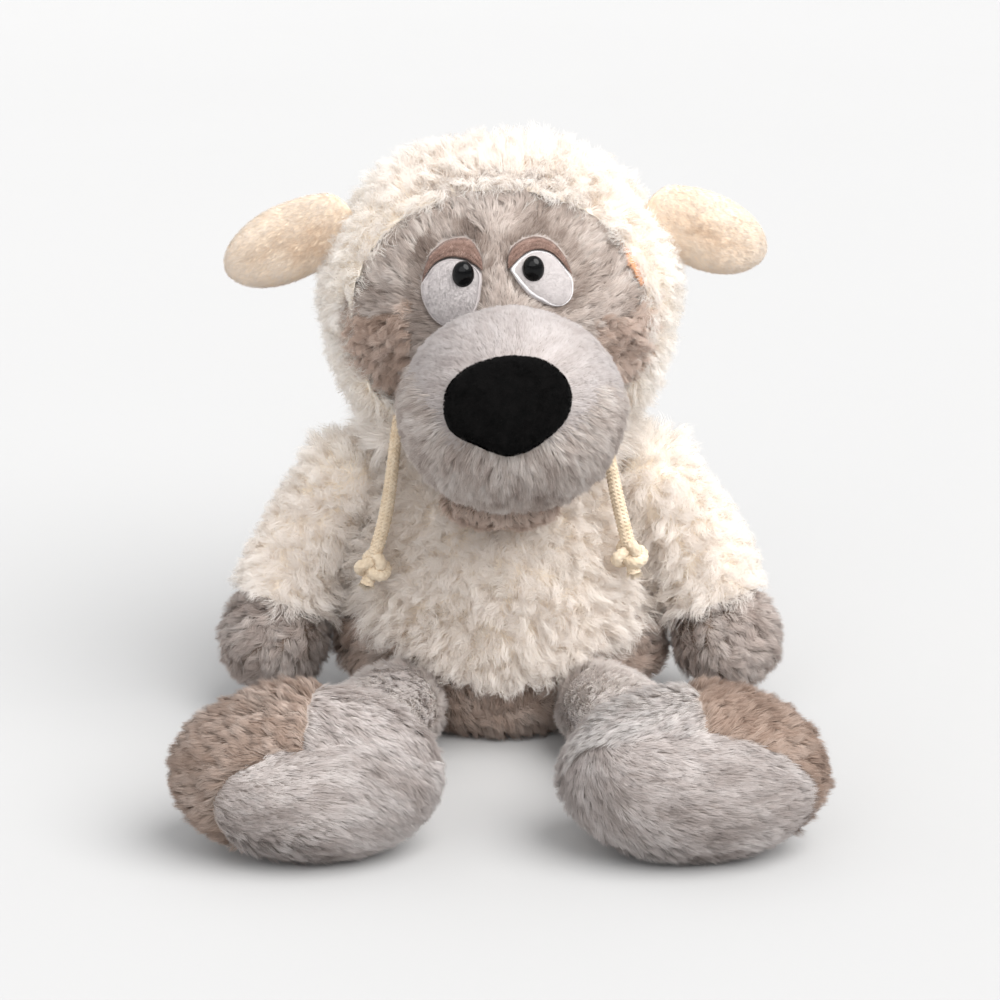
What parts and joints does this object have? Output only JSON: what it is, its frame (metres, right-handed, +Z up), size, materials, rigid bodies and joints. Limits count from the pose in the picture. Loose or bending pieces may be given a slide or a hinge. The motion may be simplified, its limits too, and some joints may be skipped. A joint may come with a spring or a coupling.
{
  "type": "plush wolf",
  "caption": "Seated plush wolf in a hooded long-pile pullover with sheep's ears and knotted drawstring ends; head, arms, legs, feet, ears and tail turn at their seams.",
  "frame": {"origin": "middle of the flat seat, on the surface that the toy sits on", "axes": "+Z up; the toy faces -Y; its own left is +X"},
  "size_m": [0.241, 0.2589, 0.2395],
  "materials": {
    "grey_plush": "combed grey-brown plush, about 8 mm pile",
    "light_plush": "light grey short plush",
    "brown_plush": "brown-grey longer plush, slightly curly",
    "muzzle_plush": "light taupe short plush",
    "streaked_plush": "grey plush with darker tips in streaks",
    "wool_pile": "cream long curly pile, like lamb's wool",
    "ear_plush": "peach-cream velour, very short pile",
    "lining_fabric": "peach knitted lining",
    "nose_velvet": "black velvet",
    "white_felt": "white brushed felt with a satin-stitched rim",
    "eyelid_thread": "brown embroidery",
    "eye_plastic": "polished black",
    "washer_plastic": "natural polyethylene",
    "fibre_fill": "white polyester fibre",
    "pellet_cloth": "cotton bag of plastic pellets",
    "cotton_cord": "braided cream cotton cord"
  },
  "bodies": {
    "torso": {"torso_front_panel": "grey_plush", "torso_back_panel": "grey_plush", "seat_panel": "grey_plush", "pellet_bag": "pellet_cloth", "torso_stuffing": "fibre_fill", "jacket_front_panel": "wool_pile", "jacket_back_panel": "wool_pile"},
    "neck": {"neck_stuffing": "fibre_fill"},
    "head": {"face_panel": "grey_plush", "cheek_patch_left": "brown_plush", "cheek_patch_right": "brown_plush", "head_back_panel": "grey_plush", "head_stuffing": "fibre_fill", "muzzle_upper_panel": "muzzle_plush", "muzzle_lower_panel": "streaked_plush", "muzzle_stuffing": "fibre_fill", "chin_patch": "brown_plush", "nose_pad": "nose_velvet", "eye_white_left": "white_felt", "eye_white_right": "white_felt", "pupil_left": "eye_plastic", "pupil_right": "eye_plastic", "eye_washer_left": "washer_plastic", "eye_washer_right": "washer_plastic", "eyelid_left": "eyelid_thread", "eyelid_right": "eyelid_thread", "hood_left_panel": "wool_pile", "hood_right_panel": "wool_pile", "hood_lining": "lining_fabric"},
    "tail": {"tail_skin": "grey_plush", "tail_stuffing": "fibre_fill"},
    "ear_left": {"sheep_ear_left_front": "ear_plush", "sheep_ear_left_back": "ear_plush", "sheep_ear_left_batting": "fibre_fill"},
    "cord_left": {"drawstring_left": "cotton_cord", "drawstring_left_knot": "cotton_cord"},
    "arm_left": {"sleeve_left": "wool_pile", "arm_left_skin": "grey_plush", "arm_left_stuffing": "fibre_fill"},
    "leg_left": {"leg_left_skin": "light_plush", "leg_left_stuffing": "fibre_fill"},
    "foot_left": {"foot_left_sole": "streaked_plush", "foot_left_outer_panel": "brown_plush", "foot_left_instep_panel": "light_plush", "foot_left_stuffing": "fibre_fill"},
    "ear_right": {"sheep_ear_right_front": "ear_plush", "sheep_ear_right_back": "ear_plush", "sheep_ear_right_batting": "fibre_fill"},
    "cord_right": {"drawstring_right": "cotton_cord", "drawstring_right_knot": "cotton_cord"},
    "arm_right": {"sleeve_right": "wool_pile", "arm_right_skin": "grey_plush", "arm_right_stuffing": "fibre_fill"},
    "leg_right": {"leg_right_skin": "light_plush", "leg_right_stuffing": "fibre_fill"},
    "foot_right": {"foot_right_sole": "streaked_plush", "foot_right_outer_panel": "brown_plush", "foot_right_instep_panel": "light_plush", "foot_right_stuffing": "fibre_fill"}
  },
  "joints": [
    {"name": "neck_nod", "type": "hinge", "parent": "torso", "child": "neck", "pos_m": [0, 0, 0.126], "axis": [1, 0, 0], "range_deg": [-5, 5], "stiffness_Nm_per_rad": 3},
    {"name": "head_turn", "type": "hinge", "parent": "neck", "child": "head", "pos_m": [0, 0, 0.126], "axis": [0, 0, 1], "range_deg": [-18, 18], "stiffness_Nm_per_rad": 1},
    {"name": "ear_left_flap", "type": "hinge", "parent": "head", "child": "ear_left", "pos_m": [0.063, 0, 0.2156], "axis": [0, -1, 0], "range_deg": [-6, 20], "stiffness_Nm_per_rad": 0.05},
    {"name": "ear_right_flap", "type": "hinge", "parent": "head", "child": "ear_right", "pos_m": [-0.0636, 0, 0.213], "axis": [0, 1, 0], "range_deg": [-6, 20], "stiffness_Nm_per_rad": 0.05},
    {"name": "cord_left_swing", "type": "hinge", "parent": "head", "child": "cord_left", "pos_m": [0.0405, -0.0306, 0.137], "axis": [-1, 0, 0], "range_deg": [0, 40]},
    {"name": "cord_right_swing", "type": "hinge", "parent": "head", "child": "cord_right", "pos_m": [-0.0405, -0.0306, 0.137], "axis": [-1, 0, 0], "range_deg": [0, 40]},
    {"name": "arm_left_raise", "type": "hinge", "parent": "torso", "child": "arm_left", "pos_m": [0.0625, 0, 0.098], "axis": [0, -1, 0], "range_deg": [0, 45], "stiffness_Nm_per_rad": 0.03},
    {"name": "arm_right_raise", "type": "hinge", "parent": "torso", "child": "arm_right", "pos_m": [-0.0625, 0, 0.098], "axis": [0, 1, 0], "range_deg": [0, 45], "stiffness_Nm_per_rad": 0.03},
    {"name": "leg_left_lift", "type": "hinge", "parent": "torso", "child": "leg_left", "pos_m": [0.0425, -0.0565, 0.0196], "axis": [-1, 0, 0], "range_deg": [0, 25], "stiffness_Nm_per_rad": 0.1},
    {"name": "leg_right_lift", "type": "hinge", "parent": "torso", "child": "leg_right", "pos_m": [-0.0425, -0.0565, 0.0196], "axis": [-1, 0, 0], "range_deg": [0, 25], "stiffness_Nm_per_rad": 0.1},
    {"name": "foot_left_flex", "type": "hinge", "parent": "leg_left", "child": "foot_left", "pos_m": [0.065, -0.1224, 0.022], "axis": [-1, 0, 0], "range_deg": [0, 12], "stiffness_Nm_per_rad": 0.1},
    {"name": "foot_right_flex", "type": "hinge", "parent": "leg_right", "child": "foot_right", "pos_m": [-0.065, -0.1224, 0.022], "axis": [-1, 0, 0], "range_deg": [0, 12], "stiffness_Nm_per_rad": 0.1},
    {"name": "tail_swing", "type": "hinge", "parent": "torso", "child": "tail", "pos_m": [0, 0.052, 0.014], "axis": [0, 0, 1], "range_deg": [-25, 25], "stiffness_Nm_per_rad": 0.02}
  ]
}
